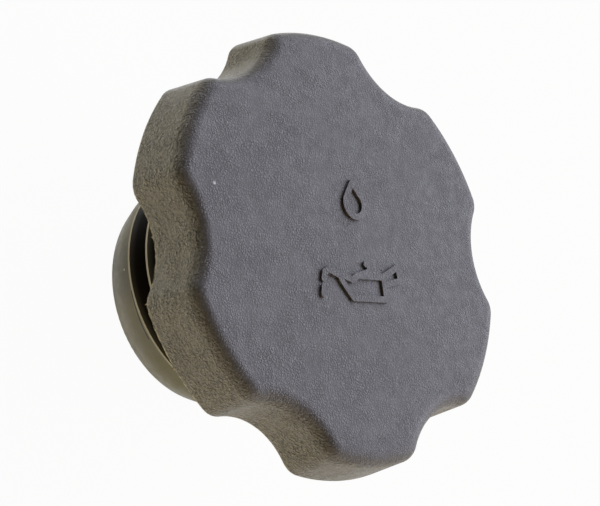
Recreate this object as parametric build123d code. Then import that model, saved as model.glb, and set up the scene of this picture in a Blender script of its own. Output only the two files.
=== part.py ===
from build123d import *
import os
from math import asin, ceil, degrees, radians, tan

# Screw-in oil filler cap in millimetres: a lobed hand grip over a hollow neck with a coarse outside thread.
# The cap stands on its neck end at Z = 0, on the Z axis, with the face up and the marks upright along +Y.

# Grip
OVERALL_HEIGHT = 36.5        # neck end to grip face
GRIP_RADIUS = 36.4           # over the lobes, at the rear edge
LOBE_DRAFT = 0.9             # radius lost by the lobes from the rear edge to the face
LOBE_COUNT = 6
SCALLOP_DEPTH = 4.4          # finger notch, in from the lobes' rear edge
SCALLOP_RADIUS = 14.8        # of a notch at the face
SCALLOP_DRAFT = 2.5          # radius lost by a notch from the face to the rear edge
SCALLOP_SLOPE = 0.3          # depth gained by a notch from the rear edge to the face
LOBE_CORNER_RADIUS = 3.9     # between a lobe and a notch
CORNER_LEAST = 0.4           # smallest round left where such a corner is moved inwards
GRIP_HEIGHT = 10.1
FACE_EDGE_RADIUS = 2.5
REAR_EDGE_RADIUS = 0.4
SKIRT_WALL = 2.6
FACE_WALL = 3.0

# Ribs under the face
RIB_COUNT = 12
RIB_THICKNESS = 1.6
RIB_SETBACK = 2.5            # from the grip's rear edge up to the ribs

# Neck
NECK_RADIUS = 20.3           # over the thread crests
BORE_RADIUS = 15.0
BORE_END_RADIUS = 1.5        # round at the blind end of the hollow
LEAD_IN_HEIGHT = 4.5
LEAD_IN_DEPTH = 2.0          # radius lost over the tapered lead-in
LEAD_IN_BLEND = 8.0          # round from the lead-in into the thread crests
NECK_END_RADIUS = 0.6

# Two-start right-hand thread, cut as helical grooves
THREAD_STARTS = 2
THREAD_PITCH = 4.4           # from one crest to the next
THREAD_CREST = 0.45
THREAD_DEPTH = 3.0
THREAD_FLANK_ANGLE = 15.0
THREAD_RUN_IN = 0.5          # plain wall left between the lead-in and a groove's lower end
THREAD_START_ANGLE = 90.0
RELIEF_DEPTH = 0.2           # undercut below the thread root
RELIEF_LENGTH = 2.5          # undercut between the thread and the seal

# Seal ring and the ring wall that it seats on
SEAL_SKIRT_GAP = 2.1         # around the seal, inside the skirt at a notch
SEAL_THICKNESS = 2.6
SEAL_PROUD = 1.0             # below the grip's rear edge
SEAL_CLEARANCE = 0.15        # around the neck
SEAL_BEAD_WIDTH = 3.6
SEAL_BEAD_HEIGHT = 0.6
SEAL_EDGE_RADIUS = 0.3
SEAT_WALL = 2.4

# Raised marks on the face: an oil can sign, drawn on a square grid, and a plain drop above it
MARK_HEIGHT = 0.36
MARK_STROKE = 1.05
CAN_GRID = 1.05              # side of one grid square
CAN_X = -0.65                # grid origin, the can's lower left corner
CAN_Y = -8.95
DROP_X = 2.7                 # centre of the drop's round end
DROP_Y = 6.6
DROP_RADIUS = 2.1
DROP_TIP = 3.6               # from that centre up to the tip

# Overlap that fuses one solid into another
FUSE = 0.5

# Heights and radii that follow
REAR_Z = OVERALL_HEIGHT - GRIP_HEIGHT
FACE_RADIUS = GRIP_RADIUS - LOBE_DRAFT
REAR_NOTCH_RADIUS = GRIP_RADIUS - SCALLOP_DEPTH
FACE_NOTCH_RADIUS = REAR_NOTCH_RADIUS - SCALLOP_SLOPE
CEILING_Z = OVERALL_HEIGHT - FACE_WALL
SEAL_RADIUS = FACE_NOTCH_RADIUS - SKIRT_WALL - SEAL_SKIRT_GAP
SEAL_LOW_Z = REAR_Z - SEAL_PROUD
SEAT_Z = SEAL_LOW_Z + SEAL_THICKNESS
RELIEF_LOW_Z = SEAL_LOW_Z - RELIEF_LENGTH
ROOT_RADIUS = NECK_RADIUS - THREAD_DEPTH
RELIEF_RADIUS = ROOT_RADIUS - RELIEF_DEPTH
SEAL_INNER_RADIUS = RELIEF_RADIUS + SEAL_CLEARANCE
SEAT_RADIUS = (SEAL_INNER_RADIUS + SEAL_RADIUS) / 2
NECK_END_OUTER = NECK_RADIUS - LEAD_IN_DEPTH


def ring(outer, inner, low, high):
    """A plain ring about Z."""
    return Pos(0, 0, low) * extrude(Circle(outer) - Circle(inner), high - low)


def lobed_outline(lobe_reach, notch_reach, notch_round, inset=0):
    """An outline out to its lobes, in to its finger notches, and then moved inwards by inset."""
    outline = Circle(lobe_reach - inset)
    for place in PolarLocations(notch_reach + notch_round, LOBE_COUNT):
        outline -= place * Circle(notch_round + inset)
    corner = max(LOBE_CORNER_RADIUS - inset, CORNER_LEAST)
    return fillet(outline.vertices(), corner)


def face_outline(inset=0):
    return lobed_outline(FACE_RADIUS, FACE_NOTCH_RADIUS, SCALLOP_RADIUS, inset)


def grip_shell():
    """The lobed grip, hollow from behind. Its lobes widen and its notches narrow towards the rear edge."""
    rear = Pos(0, 0, REAR_Z) * lobed_outline(GRIP_RADIUS, REAR_NOTCH_RADIUS, SCALLOP_RADIUS - SCALLOP_DRAFT)
    face = Pos(0, 0, OVERALL_HEIGHT) * face_outline()
    solid = loft([rear, face], ruled=True)
    face_round = min(FACE_EDGE_RADIUS, LOBE_CORNER_RADIUS - CORNER_LEAST)
    solid = fillet(solid.faces().sort_by(Axis.Z)[-1].edges(), face_round)
    solid = fillet(solid.faces().sort_by(Axis.Z)[0].edges(), REAR_EDGE_RADIUS)
    return solid - Pos(0, 0, REAR_Z) * extrude(face_outline(SKIRT_WALL), CEILING_Z - REAR_Z)


def ribs():
    """Radial ribs from the neck to the skirt, deeper inside the seat wall, where they carry the seal."""
    seat_outer = SEAT_RADIUS + SEAT_WALL / 2
    top = CEILING_Z + FUSE
    spoke = Pos(GRIP_RADIUS / 2, 0) * Rectangle(GRIP_RADIUS, RIB_THICKNESS)
    spokes = Sketch() + [turn * spoke for turn in PolarLocations(0, RIB_COUNT)]
    outer_low = max(REAR_Z + RIB_SETBACK, SEAT_Z)
    outer = Pos(0, 0, outer_low) * extrude(spokes & face_outline(SKIRT_WALL - FUSE), top - outer_low)
    inner = Pos(0, 0, SEAT_Z) * extrude(spokes & Circle(seat_outer - FUSE), top - SEAT_Z)
    return outer + inner


def neck_blank():
    """The neck before its thread is cut, with the tapered lead-in and the undercut below the seal."""
    profile = Polyline(
        (0, 0),
        (NECK_END_OUTER, 0),
        (NECK_RADIUS, LEAD_IN_HEIGHT),
        (NECK_RADIUS, RELIEF_LOW_Z),
        (RELIEF_RADIUS, RELIEF_LOW_Z),
        (RELIEF_RADIUS, CEILING_Z + FUSE),
        (0, CEILING_Z + FUSE),
        close=True,
    )
    blank = revolve(Plane.XZ * make_face(profile), Axis.Z)
    rims = blank.edges().filter_by(GeomType.CIRCLE).group_by(Axis.Z)
    blank = fillet(rims[1], LEAD_IN_BLEND)
    return fillet(blank.edges().group_by(Axis.Z)[0], NECK_END_RADIUS)


def thread_groove():
    """One start of the thread, as the groove that is cut from the neck, along a helix of half-turn spans."""
    widening = tan(radians(THREAD_FLANK_ANGLE))
    crest_half = (THREAD_PITCH - THREAD_CREST) / 2
    root_half = crest_half - THREAD_DEPTH * widening
    outer_half = crest_half + FUSE * widening
    section = Polyline(
        (ROOT_RADIUS, -root_half),
        (NECK_RADIUS + FUSE, -outer_half),
        (NECK_RADIUS + FUSE, outer_half),
        (ROOT_RADIUS, root_half),
        close=True,
    )
    lead = THREAD_PITCH * THREAD_STARTS
    start = LEAD_IN_HEIGHT + THREAD_RUN_IN + crest_half
    rise = RELIEF_LOW_Z + crest_half - start
    spans = ceil(2 * rise / lead)
    span_rise = rise / spans
    span = Helix(lead, span_rise, ROOT_RADIUS)
    path = Wire([Pos(0, 0, span_rise * i) * Rot(0, 0, 360 * span_rise * i / lead) * span for i in range(spans)])
    groove = sweep(Plane.XZ * make_face(section), path, is_frenet=True)
    return Pos(0, 0, start) * Rot(0, 0, THREAD_START_ANGLE) * groove


def threaded_neck():
    neck = neck_blank()
    groove = thread_groove()
    for start in range(THREAD_STARTS):
        neck -= Rot(0, 0, 360 * start / THREAD_STARTS) * groove
    return neck


def stroke(*lines):
    """The lines drawn with the marks' pen, round at both ends of each line."""
    drawn = Sketch()
    for line in lines:
        drawn += trace(line, MARK_STROKE)
        for end in (line @ 0, line @ 1):
            drawn += Pos(end) * Circle(MARK_STROKE / 2)
    return drawn


def can_stroke(*squares):
    """A run of straight lines between places on the oil can's grid."""
    points = [(CAN_X + CAN_GRID * across, CAN_Y + CAN_GRID * up) for across, up in squares]
    return stroke(*[Line(first, second) for first, second in zip(points, points[1:])])


def can_mark():
    """The usual oil can sign: body, gooseneck spout with a falling drip, lid with its knob, and handle."""
    body = can_stroke((-1.7, 2.2), (0, 0), (7.2, 0), (7.2, 3.5), (1.6, 3.5), (0.2, 2.8), (-1.8, 3.5))
    spout = can_stroke((-1.7, 2.2), (-2.5, 3.4), (-4.5, 4.2), (-5.5, 3.8), (-5.9, 2.7))
    drip = can_stroke((-6.1, 1.4), (-6.4, 0.3))
    lid = can_stroke((1.6, 3.5), (3.7, 4.1), (5.1, 4.1), (7.2, 3.5))
    knob = can_stroke((3.7, 5.4), (5.0, 5.4)) + can_stroke((4.3, 5.4), (4.3, 4.1))
    handle = can_stroke((7.2, 3.6), (10.7, 5.3), (10.9, 3.1), (7.2, 2.3))
    return body + spout + drip + lid + knob + handle


def drop_mark():
    """A plain upright drop: a round end and two straight sides that meet in a tip."""
    lean = degrees(asin(DROP_RADIUS / DROP_TIP))
    centre = Vector(DROP_X, DROP_Y)
    tip = centre + Vector(0, DROP_TIP)
    round_end = CenterArc(centre, DROP_RADIUS, 180 - lean, 180 + 2 * lean)
    return stroke(round_end, Line(round_end @ 0, tip), Line(round_end @ 1, tip))


def face_marks():
    return Pos(0, 0, OVERALL_HEIGHT - FUSE) * extrude(can_mark() + drop_mark(), FUSE + MARK_HEIGHT)


def cap_body():
    body = grip_shell() + threaded_neck()
    body += ring(SEAT_RADIUS + SEAT_WALL / 2, SEAT_RADIUS - SEAT_WALL / 2, SEAT_Z, CEILING_Z + FUSE)
    body += ribs()
    hollow = extrude(Circle(BORE_RADIUS), CEILING_Z)
    hollow = fillet(hollow.edges().group_by(Axis.Z)[-1], BORE_END_RADIUS)
    return body - hollow + face_marks()


def seal_ring():
    """Flat rubber ring on the seat wall, with a wide bead that meets the filler's rim."""
    flat_low = SEAL_LOW_Z + SEAL_BEAD_HEIGHT
    flat = ring(SEAL_RADIUS, SEAL_INNER_RADIUS, flat_low, SEAT_Z)
    bead_outer = SEAT_RADIUS + SEAL_BEAD_WIDTH / 2
    bead_inner = SEAT_RADIUS - SEAL_BEAD_WIDTH / 2
    bead = ring(bead_outer, bead_inner, SEAL_LOW_Z, flat_low + FUSE)
    seal = flat + bead
    return fillet(seal.edges().group_by(Axis.Z)[0], SEAL_EDGE_RADIUS)


os.makedirs("parts", exist_ok=True)
export_step(cap_body(), "parts/cap_body.step")
export_step(seal_ring(), "parts/seal_ring.step")
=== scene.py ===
import math
import random
import bpy
from mathutils import Matrix, Vector


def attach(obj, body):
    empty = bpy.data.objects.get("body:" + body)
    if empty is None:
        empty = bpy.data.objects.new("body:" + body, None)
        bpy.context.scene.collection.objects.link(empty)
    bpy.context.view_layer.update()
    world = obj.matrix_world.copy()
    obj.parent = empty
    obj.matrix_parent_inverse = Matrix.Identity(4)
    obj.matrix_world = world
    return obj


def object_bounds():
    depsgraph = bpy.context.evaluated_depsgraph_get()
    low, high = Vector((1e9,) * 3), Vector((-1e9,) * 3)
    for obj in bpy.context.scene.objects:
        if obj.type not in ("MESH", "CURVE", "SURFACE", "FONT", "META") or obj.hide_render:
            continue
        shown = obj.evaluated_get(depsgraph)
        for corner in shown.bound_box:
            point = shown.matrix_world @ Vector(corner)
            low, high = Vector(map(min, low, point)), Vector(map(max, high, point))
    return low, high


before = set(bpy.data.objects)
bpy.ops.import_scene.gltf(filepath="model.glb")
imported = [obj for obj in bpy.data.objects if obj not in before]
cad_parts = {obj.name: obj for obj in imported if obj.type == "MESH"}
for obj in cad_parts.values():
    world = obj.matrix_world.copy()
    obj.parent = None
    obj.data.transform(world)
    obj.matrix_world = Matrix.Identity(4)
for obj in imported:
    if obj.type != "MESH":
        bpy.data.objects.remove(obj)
cad_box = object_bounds()

# Sizes of the cap that its finishes follow, in metres like everything below
MM = 0.001
MARK_HEIGHT = 0.36 * MM
FRONT_THICKNESS = 3.0 * MM
GRIP_DEPTH = 10.1 * MM
FACE_Z = cad_box[1][2] - MARK_HEIGHT
CEILING_Z = FACE_Z - FRONT_THICKNESS
REAR_Z = FACE_Z - GRIP_DEPTH
SKIRT_INSIDE = 28.0 * MM     # a radius between the seal and the grip's skirt
LOBE_RADIUS = 36.4 * MM      # the grip's outline at its rear edge
LOBE_COUNT = 6
NOTCH_REACH = 32.0 * MM
NOTCH_ROUND = 12.3 * MM
CORNER_ROUND = 3.9 * MM
REAR_ROUND = 0.4 * MM
NECK_RADIUS = 20.3 * MM
BORE_RADIUS = 15.0 * MM
THREAD_PITCH = 4.4 * MM
THREAD_STARTS = 2
THREAD_CREST = 0.45 * MM
THREAD_LOW_Z = 5.0 * MM      # lower edge of a groove where it starts
THREAD_START_ANGLE = math.radians(90)

# Camera, in the part's own axes. The photograph shows the cap on its side, so the camera is rolled.
FACE_CENTRE = Vector((0, 0, FACE_Z))
CAMERA_FROM_FACE = Vector((-0.7183, -0.2112, 0.6629)).normalized()
CAMERA_DISTANCE = 0.3689
CAMERA_UP = Vector((-0.0574, 0.9675, 0.2461))
CAMERA_AIM = FACE_CENTRE + Vector((-11.06, -2.15, 0)) * MM
CAMERA_LENS = 139.4
CAMERA_SENSOR = 36.0
CAMERA_NEAR = 0.01

# Studio: a soft dome, bright behind the cap and dim on the camera's side, over a white floor
DARK_SIDE = CAMERA_FROM_FACE
DARK_FROM = -0.30            # cosines of the angle to the dark side
DARK_TO = 0.15
DARK_COLOUR = (0.02, 0.018, 0.016, 1)
BRIGHT_COLOUR = (4.27, 4.34, 5.05, 1)
BRIGHT_LOW = 0.05            # heights on the dome between which the bright side fades in
BRIGHT_HIGH = 0.45
FRONT_SIDE = Vector((-0.1, -0.95, 0.15)).normalized()
FRONT_COLOUR = (1.25, 0.88, 0.5, 1)
FRONT_SPREAD = 6.0
FLOOR_HALF = 20.0
FLOOR_COLOUR = (0.92, 0.86, 0.74, 1)
FLOOR_LIGHT = (0.94, 0.82, 0.40, 1)
FLOOR_GLOW = 0.96            # share of plain white in what the camera and reflections see of the floor

# Where each part of the plastic's look begins and ends
OUTWARD_LEAST = 0.2          # cosine above which a face looks out from the axis
WALL_FACING = (0.95, 0.55)   # Z of the normal between the face and the wall
UPRIGHT_FACING = (0.45, 0.10)
WORN_FACING = (0.5, 0.8)     # Y of the normal between plain and worn walls
CREASE_SHADE_FACING = (-0.5, 0.1)    # Y of the normal between faint and strong painted shade in the creases
REAR_SLACK = 0.1 * MM        # room left at the edges of the masks
CEILING_SLACK = 0.2 * MM
NECK_SLACK = 0.5 * MM
CREST_BLUR = 0.08 * MM
CREST_DEPTHS = (0.2 * MM, 0.05 * MM)     # depths below the thread's top where the rubbed colour, partly a painted highlight, comes in
GROOVE_DEPTHS = (0.2 * MM, 1.2 * MM)     # depths where the painted shade of the grooves comes in
GROOVE_RUN_OUT = 0.4 * MM
USUAL_NOISE = (0.3, 0.7)     # most of a noise's values lie between these

# Colours of the plastic and rubber, with painted shade and painted light on the neck
PLASTIC_COLOUR = (0.142, 0.138, 0.134, 1)
NECK_COLOUR = (0.114, 0.108, 0.085, 1)
NECK_SHADE_PLACE = Vector((-19.8, 3.0, 4.0)) * MM     # painted shade on the plain end of the neck: a darker patch standing in for a shadowed reflection
NECK_SHADE_REACH = 8.0 * MM
NECK_SHADE_CORE = 0.3 * NECK_SHADE_REACH
# how dark the painted shade makes the neck at its core
NECK_SHADE_LEVEL = 0.58
# painted tint of warm light bounced from the floor
WARM_BOUNCE_COLOUR = (0.106, 0.098, 0.046, 1)
WARM_BOUNCE_PLACE = Vector((-12.0, -16.3, 6.7)) * MM   # painted warm bounce light: a yellower patch further down the neck
WARM_BOUNCE_REACH = 10.0 * MM
WARM_BOUNCE_CORE = 0.2 * WARM_BOUNCE_REACH
SCRATCH_FROM = math.radians(-176)                # a dark scratch just below the first groove
SCRATCH_TO = math.radians(-152)
SCRATCH_NEAR = 0.50 * MM                         # its distance from that groove at each end
SCRATCH_FAR = 0.85 * MM
SCRATCH_HALF = 0.15 * MM
SCRATCH_CORE = 0.4 * SCRATCH_HALF
SPECK_CORE = 0.5                                 # share of a speck's radius that is fully pale
SPECKS = (                                       # place and radius in mm, and how pale
    ((-27.4, 7.9, 36.5), 0.32, 0.90),
    ((20.6, 8.2, 36.5), 0.22, 0.35),
    ((-31.1, -2.2, 35.85), 0.22, 0.30),
    ((-22.9, 17.9, 36.5), 0.22, 0.30),
    ((-20.1, 2.3, 5.6), 0.22, 0.35),
)
# painted shade deep in the thread's grooves; the dark scratch uses the same colour
GROOVE_SHADE_AND_SCRATCH_COLOUR = (0.014, 0.010, 0.007, 1)
# crests rubbed pale, partly a painted highlight along the thread's edges
RUBBED_HIGHLIGHT_COLOUR = (0.33, 0.32, 0.31, 1)
CREST_RUBBED_HIGHLIGHT = 0.8
MOTTLE_SCALE = 140.0
MOTTLE = (0.95, 1.05)
SEAL_COLOUR = (0.022, 0.022, 0.023, 1)
BLOOM_COLOUR = (0.034, 0.034, 0.035, 1)
BLOOM_SCALE = 260.0
BLOOM_NOISE = (0.45, 0.75)
SEAL_ROUGH = (0.62, 0.82)
SEAL_GRAIN = 3000.0
SEAL_RELIEF = 0.6
SEAL_DEPTH = 0.02 * MM

# Leather grain: pebbles and grit to the metre, and the height of each
FACE_GRAIN = (2200.0, 3000.0, 0.45, 0.75)
WALL_GRAIN = (1950.0, 2200.0, 0.20, 1.05)
PEBBLE_RISE = 0.30           # distance from a pebble's edge over which it rises, as a share of its size
WANDER_SCALE = 900.0
WANDER_REACH = 0.4 * MM
PATCH_SCALE = 260.0
PATCH_STRENGTH = (0.6, 1.2)
FADE_SPAN = (-15 * MM, 20 * MM)          # X where the grain grows weaker, and its strength at each end
FADE_STRENGTH = (1.08, 0.75)
GRAIN_DEPTH = 0.08 * MM
WALL_DEPTH = 5.0             # the walls' depth of grain, as a multiple of the face's
WORN_DEPTH = 1.1
CREASE_SPAN = (0.25, 0.95)   # heights in the grain between the darkest painted shade and the palest painted light
FACE_CREASE_SHADE = 0.50             # contrast of the painted shade in the creases and the painted light on the pebbles
WALL_CREASE_SHADE = (0.80, 1.25)
WORN_CREASE_SHADE = 0.6
# painted light: upright walls made paler than the face
WALL_PAINTED_LIGHT = 1.09
FACE_ROUGH = 0.48
WALL_ROUGH = 0.46
WORN_ROUGH = 0.30
UNEVEN_SCALE = 700.0
UNEVEN_ROUGH = 0.06
LINE_SCALES = (60, 60, 2600)             # fine lines round the neck
LINE_HEIGHT = 0.25

# Moulding flash: a thin ragged fin on the grip's rear edge, highest in one notch, with some burrs; its pale
# colour is partly a painted highlight
FLASH_SEED = 11
FLASH_STEPS = 2160
FLASH_COARSE_STEP = 6
FLASH_COARSE_SHARE = 0.6
FLASH_ROOT = 0.07 * MM       # half its thickness at the root
FLASH_SUNK = 0.05 * MM       # how far the root lies inside the edge
FLASH_LEAST = 0.03 * MM
FLASH_EVEN = 0.06 * MM
FLASH_RAGGED = 0.22 * MM
FLASH_PLACE = math.radians(188)
FLASH_HALF = math.radians(30)
FLASH_ELSEWHERE = 0.15       # share of the height that is left away from that notch
FLASH_LEAN = (0.68, -0.73)   # outwards and downwards
# pale thin plastic, partly a painted highlight
FLASH_PALE_HIGHLIGHT_COLOUR = (0.48, 0.45, 0.40, 1)
FLASH_MOTTLE_SCALE = 1500.0
FLASH_NOISE = (0.35, 0.65)
FLASH_ROUGHNESS = 0.5
BURRS = (                    # angle and half width in degrees, and height in mm
    (177.0, 0.6, 0.42),
    (194.3, 0.3, 0.55),
    (211.0, 0.7, 0.40),
)


class Graph:
    """Adds nodes to one tree. A value is a number, a colour, a vector or another node's output."""

    def __init__(self, tree):
        self.tree = tree

    def feed(self, socket, value):
        if isinstance(value, bpy.types.NodeSocket):
            self.tree.links.new(value, socket)
        else:
            socket.default_value = value

    def node(self, kind, settings=None, **inputs):
        made = self.tree.nodes.new("ShaderNode" + kind)
        for name, value in (settings or {}).items():
            setattr(made, name, value)
        for name, value in inputs.items():
            self.feed(made.inputs[name.replace("_", " ")], value)
        return made

    def math(self, operation, *values):
        made = self.node("Math", {"operation": operation})
        for socket, value in zip(made.inputs, values):
            self.feed(socket, value)
        return made.outputs[0]

    def product(self, first, *others):
        """Multiplies two or more numbers, in the order given."""
        for other in others:
            first = self.math("MULTIPLY", first, other)
        return first

    def vector(self, operation, *values):
        made = self.node("VectorMath", {"operation": operation})
        for socket, value in zip(made.inputs, values):
            self.feed(socket, value)
        number_made = operation in ("DOT_PRODUCT", "LENGTH", "DISTANCE")
        return made.outputs["Value" if number_made else "Vector"]

    def scale(self, colour, factor):
        made = self.node("VectorMath", {"operation": "SCALE"}, Scale=factor)
        self.feed(made.inputs[0], colour)
        return made.outputs["Vector"]

    def ease(self, value, start, end, low=0.0, high=1.0):
        """Runs smoothly from low to high while value goes from start to end."""
        settings = {"interpolation_type": "SMOOTHSTEP"}
        spans = {"From_Min": start, "From_Max": end, "To_Min": low, "To_Max": high}
        return self.node("MapRange", settings, Value=value, **spans).outputs["Result"]

    def between(self, share, low, high):
        """Runs smoothly from low to high while share goes from 0 to 1."""
        return self.ease(share, 0.0, 1.0, low, high)

    def blend(self, share, first, second, way="MIX"):
        """Mixes two colours."""
        made = self.node("Mix", {"data_type": "RGBA", "blend_type": way})
        for index, value in ((0, share), (6, first), (7, second)):
            self.feed(made.inputs[index], value)
        return made.outputs[2]

    def add_shaders(self, *shaders):
        made = self.node("AddShader")
        for socket, value in zip(made.inputs, shaders):
            self.feed(socket, value)
        return made.outputs[0]

    def mix_shaders(self, share, *shaders):
        made = self.node("MixShader")
        for socket, value in zip(made.inputs, (share,) + shaders):
            self.feed(socket, value)
        return made.outputs[0]

    def noise(self, place, scale, detail=2.0):
        return self.node("TexNoise", Vector=place, Scale=scale, Detail=detail).outputs["Fac"]


def new_material(name):
    """An empty node material with its Principled shader."""
    material = bpy.data.materials.new(name)
    material.use_nodes = True
    return material, Graph(material.node_tree), material.node_tree.nodes["Principled BSDF"]


def dress(node, material):
    node.data.materials.clear()
    node.data.materials.append(material)


def grip_mask(graph, place):
    """1 on the grip's grained outside, 0 on the neck and inside."""
    across = graph.vector("MULTIPLY", place, (1, 1, 0))
    height = graph.node("SeparateXYZ", Vector=place).outputs["Z"]
    normal = graph.node("NewGeometry").outputs["Normal"]
    outward = graph.vector("DOT_PRODUCT", normal, graph.vector("NORMALIZE", across))
    looks_out = graph.math("GREATER_THAN", outward, OUTWARD_LEAST)
    past_seal = graph.math("GREATER_THAN", graph.vector("LENGTH", across), SKIRT_INSIDE)
    above_rear = graph.math("GREATER_THAN", height, REAR_Z - REAR_SLACK)
    wall = graph.product(looks_out, past_seal, above_rear)
    return graph.math("MAXIMUM", wall, graph.math("GREATER_THAN", height, CEILING_Z + CEILING_SLACK))


def neck_masks(graph, place):
    """1 on the neck, on the thread's crests, in its grooves where shade is painted, and on the scratch
    below the first groove.
    """
    parts = graph.node("SeparateXYZ", Vector=place).outputs
    reach = graph.vector("LENGTH", graph.vector("MULTIPLY", place, (1, 1, 0)))
    angle = graph.math("ARCTAN2", parts["Y"], parts["X"])
    lead = THREAD_PITCH * THREAD_STARTS
    climb = graph.math("MULTIPLY", graph.math("SUBTRACT", angle, THREAD_START_ANGLE), lead / (2 * math.pi))
    above_edge = graph.math("SUBTRACT", graph.math("SUBTRACT", parts["Z"], THREAD_LOW_Z), climb)
    turn = graph.math("FLOORED_MODULO", above_edge, THREAD_PITCH)
    below_grip = graph.math("LESS_THAN", parts["Z"], REAR_Z)
    inside_neck = graph.math("LESS_THAN", reach, NECK_RADIUS + NECK_SLACK)
    on_neck = graph.product(below_grip, inside_neck)

    crest_low = THREAD_PITCH - THREAD_CREST
    on_crest = graph.ease(turn, crest_low, crest_low + CREST_BLUR)
    at_top = graph.ease(reach, *(NECK_RADIUS - depth for depth in CREST_DEPTHS))
    crest = graph.product(on_crest, at_top, below_grip)

    sunk = graph.ease(reach, *(NECK_RADIUS - depth for depth in GROOVE_DEPTHS))
    past_bore = graph.math("GREATER_THAN", reach, BORE_RADIUS + NECK_SLACK)
    above_ring = graph.math("GREATER_THAN", parts["Z"], THREAD_LOW_Z - GROOVE_RUN_OUT)
    groove_shade = graph.product(sunk, past_bore, above_ring, below_grip)

    ends = (THREAD_PITCH - SCRATCH_NEAR, THREAD_PITCH - SCRATCH_FAR)
    middle = graph.ease(angle, SCRATCH_FROM, SCRATCH_TO, *ends)
    off_line = graph.math("ABSOLUTE", graph.math("SUBTRACT", turn, middle))
    on_line = graph.ease(off_line, SCRATCH_HALF, SCRATCH_CORE)
    past_start = graph.math("GREATER_THAN", angle, SCRATCH_FROM)
    before_end = graph.math("LESS_THAN", angle, SCRATCH_TO)
    first_turn = graph.math("LESS_THAN", parts["Z"], THREAD_LOW_Z + THREAD_PITCH - SCRATCH_FAR)
    on_outside = graph.math("GREATER_THAN", reach, NECK_RADIUS - NECK_SLACK)
    scratch = graph.product(on_line, past_start, before_end, first_turn, on_outside)
    return on_neck, crest, groove_shade, scratch


def leather(graph, place, wandering, pebbles, grit, pebble_height, grit_height):
    """Height of pebbles with uneven outlines and of the finer grit on them."""
    voronoi = graph.node("TexVoronoi", {"feature": "DISTANCE_TO_EDGE"}, Vector=wandering, Scale=pebbles)
    pebble = graph.ease(voronoi.outputs["Distance"], 0.0, PEBBLE_RISE)
    gritty = graph.math("MULTIPLY", graph.noise(place, grit), grit_height)
    return graph.math("ADD", graph.math("MULTIPLY", pebble, pebble_height), gritty)


def cap_grain(graph, place, side):
    """Height of the grain, which differs on face and walls, and its strength, which varies in patches."""
    wander = graph.node("TexNoise", Vector=place, Scale=WANDER_SCALE, Detail=1.0).outputs["Color"]
    wander = graph.vector("SUBTRACT", wander, (0.5, 0.5, 0.5))
    wandering = graph.vector("ADD", place, graph.vector("MULTIPLY", wander, (WANDER_REACH,) * 3))
    face_grain = leather(graph, place, wandering, *FACE_GRAIN)
    wall_grain = leather(graph, place, wandering, *WALL_GRAIN)
    patch = graph.ease(graph.noise(place, PATCH_SCALE), *USUAL_NOISE, *PATCH_STRENGTH)
    across = graph.node("SeparateXYZ", Vector=place).outputs["X"]
    strength = graph.product(patch, graph.ease(across, *FADE_SPAN, *FADE_STRENGTH))
    return graph.between(side, face_grain, wall_grain), strength


def cap_relief(graph, place, grip, grain, depth):
    """Normal that follows the grain on the grip and fine lines round the neck."""
    lines = graph.noise(graph.vector("MULTIPLY", place, LINE_SCALES), 1.0, 3.0)
    relief = graph.node("Mix", {"data_type": "FLOAT"})
    graph.feed(relief.inputs[0], grip)
    graph.feed(relief.inputs[2], graph.math("MULTIPLY", lines, LINE_HEIGHT))
    graph.feed(relief.inputs[3], graph.math("MULTIPLY", grain, depth))
    bump = graph.node("Bump", Strength=1.0, Distance=GRAIN_DEPTH, Height=relief.outputs[0])
    return bump.outputs["Normal"]


def cap_shade(graph, place, facing, grip, side, worn, grain, strength):
    """Brightness of the plastic: painted shade in the creases and painted light on the pebbles, a slow
    mottle, and walls painted paler as if more lit.
    """
    mottle = graph.ease(graph.noise(place, MOTTLE_SCALE, 3.0), *USUAL_NOISE, *MOTTLE)
    wall_crease_shade = graph.ease(facing["Y"], *CREASE_SHADE_FACING, *WALL_CREASE_SHADE)
    wall_crease_shade = graph.product(wall_crease_shade, graph.between(worn, 1.0, WORN_CREASE_SHADE))
    contrast = graph.between(side, FACE_CREASE_SHADE, wall_crease_shade)
    # painted shade in the creases and painted light on the pebbles, its strength following which way the
    # wall faces
    crease_shade = graph.math("SUBTRACT", graph.ease(grain, *CREASE_SPAN), 0.5)
    crease_shade = graph.math("ADD", 1.0, graph.product(crease_shade, strength, contrast, grip))
    # painted light on the upright walls
    upright = graph.product(grip, graph.ease(facing["Z"], *UPRIGHT_FACING))
    return graph.product(mottle, crease_shade, graph.between(upright, 1.0, WALL_PAINTED_LIGHT))


def neck_colour(graph, place):
    """Plastic of the neck, with a painted warm tint of bounce light in one patch and painted shade in
    another.
    """
    # painted shade: the neck made darker where a shadowed reflection falls
    from_painted_shade = graph.vector("DISTANCE", place, NECK_SHADE_PLACE)
    painted_shade = graph.ease(from_painted_shade, NECK_SHADE_REACH, NECK_SHADE_CORE, 1.0, NECK_SHADE_LEVEL)
    # painted warm bounce light: a yellower tint in one patch
    warm_bounce = graph.ease(graph.vector("DISTANCE", place, WARM_BOUNCE_PLACE), WARM_BOUNCE_REACH, WARM_BOUNCE_CORE)
    return graph.scale(graph.blend(warm_bounce, NECK_COLOUR, WARM_BOUNCE_COLOUR), painted_shade)


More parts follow.
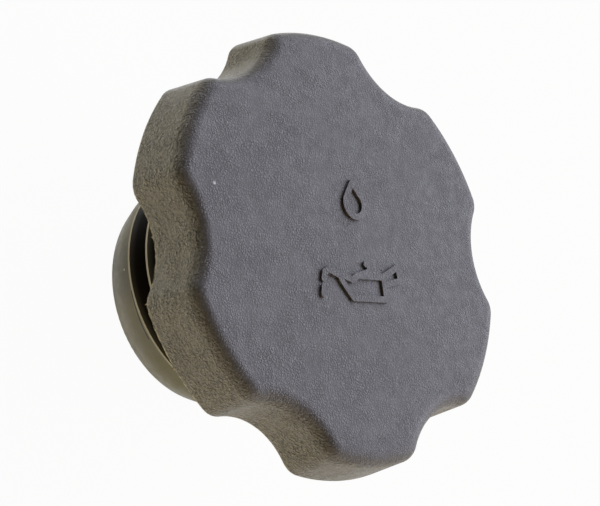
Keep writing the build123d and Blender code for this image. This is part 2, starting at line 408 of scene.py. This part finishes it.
def cap_colour(graph, place, shade):
    """Dark plastic with painted shade in the grooves, crests rubbed pale and partly painted as a highlight,
    a scratch and some pale specks.
    """
    on_neck, crest, groove_shade, scratch = neck_masks(graph, place)
    colour = graph.blend(on_neck, PLASTIC_COLOUR, neck_colour(graph, place))
    # painted shade in the grooves
    colour = graph.blend(groove_shade, colour, GROOVE_SHADE_AND_SCRATCH_COLOUR)
    # rubbed crests, partly a painted highlight
    colour = graph.blend(graph.math("MULTIPLY", crest, CREST_RUBBED_HIGHLIGHT), colour, RUBBED_HIGHLIGHT_COLOUR)
    colour = graph.blend(scratch, colour, GROOVE_SHADE_AND_SCRATCH_COLOUR)
    colour = graph.scale(colour, shade)
    for centre, radius, pale in SPECKS:
        away = graph.vector("DISTANCE", place, Vector(centre) * MM)
        speck = graph.ease(away, radius * MM, SPECK_CORE * radius * MM)
        colour = graph.blend(speck, colour, (pale, pale, pale, 1))
    return colour


def cap_plastic():
    """Dark moulded plastic: leather grain on the grip, smooth and finely lined on the neck."""
    material, graph, shader = new_material("cap_plastic")
    place = graph.node("TexCoord").outputs["Object"]
    facing = graph.node("SeparateXYZ", Vector=graph.node("NewGeometry").outputs["Normal"]).outputs
    grip = grip_mask(graph, place)
    side = graph.product(grip, graph.ease(facing["Z"], *WALL_FACING))
    worn = graph.ease(facing["Y"], *WORN_FACING)
    grain, strength = cap_grain(graph, place, side)
    wall_depth = graph.between(worn, WALL_DEPTH, WORN_DEPTH)
    depth = graph.product(strength, graph.between(side, 1.0, wall_depth))
    graph.feed(shader.inputs["Normal"], cap_relief(graph, place, grip, grain, depth))
    shade = cap_shade(graph, place, facing, grip, side, worn, grain, strength)
    graph.feed(shader.inputs["Base Color"], cap_colour(graph, place, shade))
    rough = graph.between(side, FACE_ROUGH, graph.between(worn, WALL_ROUGH, WORN_ROUGH))
    uneven = graph.ease(graph.noise(place, UNEVEN_SCALE, 3.0), *USUAL_NOISE, -UNEVEN_ROUGH, UNEVEN_ROUGH)
    graph.feed(shader.inputs["Roughness"], graph.math("ADD", rough, uneven))
    return material


def seal_rubber():
    """Matt black rubber with a fine, uneven bloom."""
    material, graph, shader = new_material("seal_rubber")
    place = graph.node("TexCoord").outputs["Object"]
    bloom = graph.noise(place, BLOOM_SCALE, 4.0)
    colour = graph.blend(graph.ease(bloom, *BLOOM_NOISE), SEAL_COLOUR, BLOOM_COLOUR)
    graph.feed(shader.inputs["Base Color"], colour)
    graph.feed(shader.inputs["Roughness"], graph.ease(bloom, *USUAL_NOISE, *SEAL_ROUGH))
    grain = graph.noise(place, SEAL_GRAIN)
    bump = graph.node("Bump", Strength=SEAL_RELIEF, Distance=SEAL_DEPTH, Height=grain)
    graph.feed(shader.inputs["Normal"], bump.outputs["Normal"])
    return material


def flash_plastic():
    """The same plastic where it is thin and pale, the paleness partly a painted highlight along the rear
    edge.
    """
    material, graph, shader = new_material("flash_plastic")
    place = graph.node("TexCoord").outputs["Object"]
    pale = graph.ease(graph.noise(place, FLASH_MOTTLE_SCALE), *FLASH_NOISE)
    graph.feed(shader.inputs["Base Color"], graph.blend(pale, PLASTIC_COLOUR, FLASH_PALE_HIGHLIGHT_COLOUR))
    shader.inputs["Roughness"].default_value = FLASH_ROUGHNESS
    return material


def rear_reach(angle):
    """Radius of the grip's outline at its rear edge: a notch, a rounded corner or a lobe."""
    turn = 2 * math.pi / LOBE_COUNT
    off_axis = abs((angle + turn / 2) % turn - turn / 2)
    notch_centre = NOTCH_REACH + NOTCH_ROUND
    corner_centre = LOBE_RADIUS - CORNER_ROUND
    apart = NOTCH_ROUND + CORNER_ROUND
    cosine = (notch_centre ** 2 + corner_centre ** 2 - apart ** 2) / (2 * notch_centre * corner_centre)
    corner_angle = math.acos(cosine)
    if off_axis > corner_angle:
        return LOBE_RADIUS
    across = corner_centre * math.sin(corner_angle) * NOTCH_ROUND / apart
    along = notch_centre + (corner_centre * cosine - notch_centre) * NOTCH_ROUND / apart
    if off_axis < math.atan2(across, along):
        side = notch_centre * math.sin(off_axis)
        return notch_centre * math.cos(off_axis) - math.sqrt(NOTCH_ROUND ** 2 - side ** 2)
    past = off_axis - corner_angle
    side = corner_centre * math.sin(past)
    return corner_centre * math.cos(past) + math.sqrt(CORNER_ROUND ** 2 - side ** 2)


def flash_heights():
    """Height of the fin at each step: ragged in one notch, low elsewhere, with the burrs on top."""
    draw = random.Random(FLASH_SEED)
    coarse = [draw.random() for _ in range(FLASH_STEPS // FLASH_COARSE_STEP)]
    fine = [draw.random() for _ in range(FLASH_STEPS)]
    heights = []
    for step in range(FLASH_STEPS):
        angle = 2 * math.pi * step / FLASH_STEPS
        past = min(abs(angle - FLASH_PLACE) / FLASH_HALF, 1.0)
        share = max(FLASH_ELSEWHERE, math.cos(past * math.pi / 2))
        before, part = divmod(step / FLASH_COARSE_STEP, 1)
        first = coarse[int(before)]
        second = coarse[(int(before) + 1) % len(coarse)]
        wave = first + (second - first) * part
        ragged = FLASH_COARSE_SHARE * wave + (1 - FLASH_COARSE_SHARE) * fine[step]
        height = FLASH_LEAST + share * (FLASH_EVEN + FLASH_RAGGED * ragged ** 2)
        for place, half_width, tall in BURRS:
            away = abs(math.degrees(angle) - place) / half_width
            height = max(height, tall * MM * (1 - away))
        heights.append(height)
    return heights


def add_flash():
    """A closed ring with three edges: two roots, sunk in the grip's rear edge, and the ragged tip."""
    out_share, up_share = FLASH_LEAN
    points = []
    faces = []
    for step, height in enumerate(flash_heights()):
        angle = 2 * math.pi * step / FLASH_STEPS
        root = rear_reach(angle) - REAR_ROUND * (1 - out_share)
        root_z = REAR_Z + REAR_ROUND * (1 + up_share)
        for along, across in ((-FLASH_SUNK, FLASH_ROOT), (height, 0), (-FLASH_SUNK, -FLASH_ROOT)):
            reach = root + along * out_share - across * up_share
            point_z = root_z + along * up_share + across * out_share
            points.append((reach * math.cos(angle), reach * math.sin(angle), point_z))
        here = 3 * step
        ahead = 3 * ((step + 1) % FLASH_STEPS)
        for first, second in ((0, 1), (1, 2), (2, 0)):
            faces.append((here + first, here + second, ahead + second, ahead + first))
    mesh = bpy.data.meshes.new("moulding_flash")
    mesh.from_pydata(points, [], faces)
    flash = bpy.data.objects.new("moulding_flash", mesh)
    bpy.context.scene.collection.objects.link(flash)
    flash.data.materials.append(flash_plastic())
    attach(flash, "root")


def floor_white():
    """White paper, plain white to the camera and in reflections but for the shadow, and open from below."""
    material, graph, shader = new_material("floor_white")
    path = graph.node("LightPath").outputs
    shown = graph.math("MAXIMUM", path["Is Camera Ray"], path["Is Glossy Ray"])
    shown = graph.math("MAXIMUM", shown, path["Is Transmission Ray"])
    lit = graph.node("BsdfDiffuse", Color=FLOOR_COLOUR).outputs["BSDF"]
    glow = graph.node("Emission", Color=FLOOR_LIGHT, Strength=graph.math("SUBTRACT", 1.0, shown))
    lit = graph.add_shaders(lit, glow.outputs["Emission"])
    white = graph.node("Emission", Color=(1, 1, 1, 1), Strength=1.0).outputs["Emission"]
    made = graph.mix_shaders(graph.math("MULTIPLY", shown, FLOOR_GLOW), lit, white)
    backfacing = graph.node("NewGeometry").outputs["Backfacing"]
    from_below = graph.math("MULTIPLY", backfacing, path["Is Camera Ray"])
    made = graph.mix_shaders(from_below, made, graph.node("BsdfTransparent").outputs["BSDF"])
    graph.feed(material.node_tree.nodes["Material Output"].inputs["Surface"], made)
    material.node_tree.nodes.remove(shader)
    return material


def add_floor():
    mesh = bpy.data.meshes.new("floor")
    corners = [(x * FLOOR_HALF, y * FLOOR_HALF, 0) for x, y in ((-1, -1), (1, -1), (1, 1), (-1, 1))]
    mesh.from_pydata(corners, [], [(0, 1, 2, 3)])
    floor = bpy.data.objects.new("floor", mesh)
    bpy.context.scene.collection.objects.link(floor)
    floor.data.materials.append(floor_white())


def add_studio_light():
    """Soft light from a dome, cool behind the cap, dim on the camera's side and warm low in front."""
    world = bpy.data.worlds.new("studio")
    bpy.context.scene.world = world
    world.use_nodes = True
    graph = Graph(world.node_tree)
    direction = graph.node("TexCoord").outputs["Generated"]
    bright = graph.ease(graph.vector("DOT_PRODUCT", direction, DARK_SIDE), DARK_TO, DARK_FROM)
    rise = graph.node("SeparateXYZ", Vector=direction).outputs["Z"]
    bright = graph.product(bright, graph.ease(rise, BRIGHT_LOW, BRIGHT_HIGH))
    colour = graph.blend(bright, DARK_COLOUR, BRIGHT_COLOUR)
    front = graph.math("MAXIMUM", graph.vector("DOT_PRODUCT", direction, FRONT_SIDE), 0.0)
    front = graph.math("POWER", front, FRONT_SPREAD)
    colour = graph.blend(front, colour, FRONT_COLOUR, "ADD")
    graph.feed(world.node_tree.nodes["Background"].inputs["Color"], colour)


def add_camera():
    data = bpy.data.cameras.new("camera")
    data.sensor_fit = "HORIZONTAL"
    data.sensor_width = CAMERA_SENSOR
    data.lens = CAMERA_LENS
    data.clip_start = CAMERA_NEAR
    data.clip_end = 4 * FLOOR_HALF
    camera = bpy.data.objects.new("camera", data)
    place = FACE_CENTRE + CAMERA_DISTANCE * CAMERA_FROM_FACE
    back = (place - CAMERA_AIM).normalized()
    right = CAMERA_UP.cross(back).normalized()
    up = back.cross(right)
    turn = Matrix((right, up, back)).transposed().to_4x4()
    camera.matrix_world = Matrix.Translation(place) @ turn
    bpy.context.scene.collection.objects.link(camera)
    bpy.context.scene.camera = camera


dress(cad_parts["cap_body"], cap_plastic())
dress(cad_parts["seal_ring"], seal_rubber())
add_flash()
add_floor()
add_studio_light()
add_camera()
bpy.context.scene.view_settings.view_transform = "Standard"
